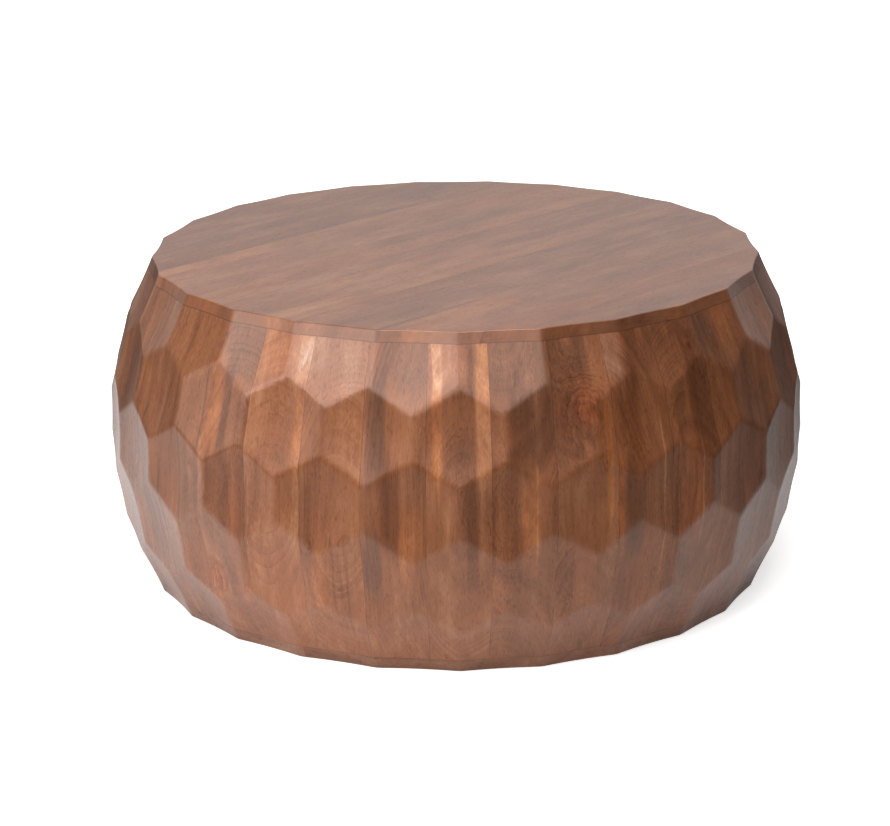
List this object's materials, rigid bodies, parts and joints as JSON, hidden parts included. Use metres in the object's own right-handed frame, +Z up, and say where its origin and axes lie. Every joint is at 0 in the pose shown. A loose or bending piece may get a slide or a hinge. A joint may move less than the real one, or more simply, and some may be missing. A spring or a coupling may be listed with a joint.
{
  "type": "drum table",
  "caption": "Low round wooden drum table: a barrel wall of glued staves carved into honeycomb facets, a flat top of diagonal planks and a base ring, hollow inside.",
  "frame": {"origin": "on the floor, on the drum's axis", "axes": "+Z up along the drum's axis; -Y is the front, where a corner of the tabletop's rim points; +X to the right seen from the front"},
  "size_m": [0.8664, 0.8656, 0.406],
  "materials": {
    "stave_wood_light": "satin lacquered hardwood, pale sapwood tone",
    "stave_wood_mid": "satin lacquered hardwood, mid brown",
    "stave_wood_dark": "satin lacquered hardwood, dark red brown",
    "top_wood": "satin lacquered hardwood planks",
    "base_wood": "satin lacquered hardwood",
    "hoop_plywood": "bare plywood",
    "batten_wood": "bare planed wood",
    "screw_steel": "yellow zinc plated steel"
  },
  "bodies": {
    "root": {"base_screws": "screw_steel", "base_segment_1": "base_wood", "base_segment_2": "base_wood", "base_segment_3": "base_wood", "base_segment_4": "base_wood", "base_segment_5": "base_wood", "base_segment_6": "base_wood", "base_segment_7": "base_wood", "base_segment_8": "base_wood", "base_segment_9": "base_wood", "batten_1": "batten_wood", "batten_2": "batten_wood", "batten_3": "batten_wood", "batten_screws": "screw_steel", "lower_hoop": "hoop_plywood", "stave_01": "stave_wood_mid", "stave_02": "stave_wood_mid", "stave_03": "stave_wood_dark", "stave_04": "stave_wood_dark", "stave_05": "stave_wood_mid", "stave_06": "stave_wood_dark", "stave_07": "stave_wood_mid", "stave_08": "stave_wood_mid", "stave_09": "stave_wood_light", "stave_10": "stave_wood_mid", "stave_11": "stave_wood_dark", "stave_12": "stave_wood_mid", "stave_13": "stave_wood_mid", "stave_14": "stave_wood_dark", "stave_15": "stave_wood_mid", "stave_16": "stave_wood_light", "stave_17": "stave_wood_mid", "stave_18": "stave_wood_mid", "stave_19": "stave_wood_dark", "stave_20": "stave_wood_mid", "stave_21": "stave_wood_light", "stave_22": "stave_wood_mid", "stave_23": "stave_wood_dark", "stave_24": "stave_wood_mid", "stave_25": "stave_wood_mid", "stave_26": "stave_wood_dark", "stave_27": "stave_wood_light", "stave_28": "stave_wood_mid", "stave_29": "stave_wood_mid", "stave_30": "stave_wood_dark", "stave_31": "stave_wood_mid", "stave_32": "stave_wood_mid", "stave_33": "stave_wood_mid", "stave_34": "stave_wood_mid", "stave_35": "stave_wood_mid", "stave_36": "stave_wood_light", "top_plank_1": "top_wood", "top_plank_2": "top_wood", "top_plank_3": "top_wood", "top_plank_4": "top_wood", "top_plank_5": "top_wood", "top_plank_6": "top_wood", "top_plank_7": "top_wood", "top_plank_8": "top_wood", "upper_hoop": "hoop_plywood"}
  },
  "joints": []
}
